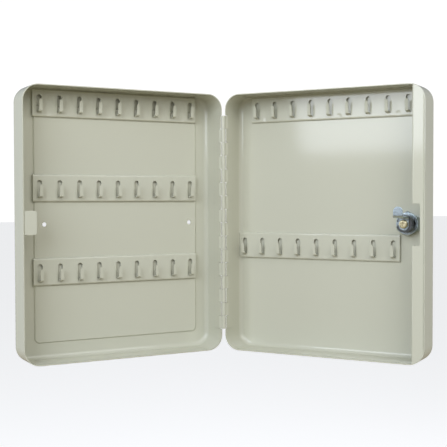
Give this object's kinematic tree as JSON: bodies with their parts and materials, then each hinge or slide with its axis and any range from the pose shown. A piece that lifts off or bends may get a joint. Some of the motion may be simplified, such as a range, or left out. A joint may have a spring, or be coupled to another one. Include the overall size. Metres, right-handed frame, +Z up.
{
  "type": "key cabinet",
  "caption": "Wall-mounted steel key cabinet: a shallow tray and a matching door tray on a piano hinge, rows of lanced hooks inside both, and a cam lock in the door.",
  "frame": {"origin": "in the wall plane, 2 mm behind the middle of the sheet that the wall screws hold, midway between the two wall screw holes, at mid-height of the cabinet", "axes": "+Y into the wall, +Z up, +X to the right as seen from the front; the door is modelled open by 123.4 degrees to the right"},
  "size_m": [0.4015, 0.2383, 0.3],
  "materials": {
    "powder_coat": "gloss powder coat in a pale grey-beige, light orange peel",
    "hinge_wire": "drawn steel wire",
    "lock_barrel": "nickel-plated zinc die casting, satin",
    "bright_zinc": "bright zinc plate, slightly blue",
    "yellow_zinc": "pale yellow-passivated zinc plate",
    "lock_brass": "machined brass",
    "spring_wire": "bright spring wire"
  },
  "bodies": {
    "cabinet": {"body_tray": "powder_coat", "strike_bracket": "powder_coat", "hinge_pin": "hinge_wire", "body_hinge_leaf": "powder_coat", "body_key_strip_top": "powder_coat", "body_key_strip_middle": "powder_coat", "body_key_strip_bottom": "powder_coat"},
    "door": {"door_tray": "powder_coat", "lock_side_stiffener": "powder_coat", "door_hinge_leaf": "powder_coat", "door_key_strip_top": "powder_coat", "door_key_strip_lower": "powder_coat", "lock_housing": "lock_barrel", "tooth_washer": "bright_zinc", "lock_nut": "bright_zinc"},
    "lock_cylinder": {"lock_plug": "lock_brass", "stop_washer": "bright_zinc", "lock_cam": "bright_zinc", "spring_washer": "yellow_zinc", "cam_screw": "yellow_zinc", "wafer_1": "lock_brass", "wafer_2": "lock_brass", "wafer_3": "lock_brass", "wafer_4": "lock_brass", "wafer_5": "lock_brass", "wafer_springs": "spring_wire"}
  },
  "joints": [
    {"name": "door_hinge", "type": "hinge", "parent": "cabinet", "child": "door", "pos_m": [0.1167, -0.0385, 0], "axis": [0, 0, 1], "range_deg": [-123.4, 52.6]},
    {"name": "lock_turn", "type": "hinge", "parent": "door", "child": "lock_cylinder", "pos_m": [0.26538, -0.19404, 0], "axis": [0.8348, 0.5505, 0], "range_deg": [0, 90]}
  ]
}
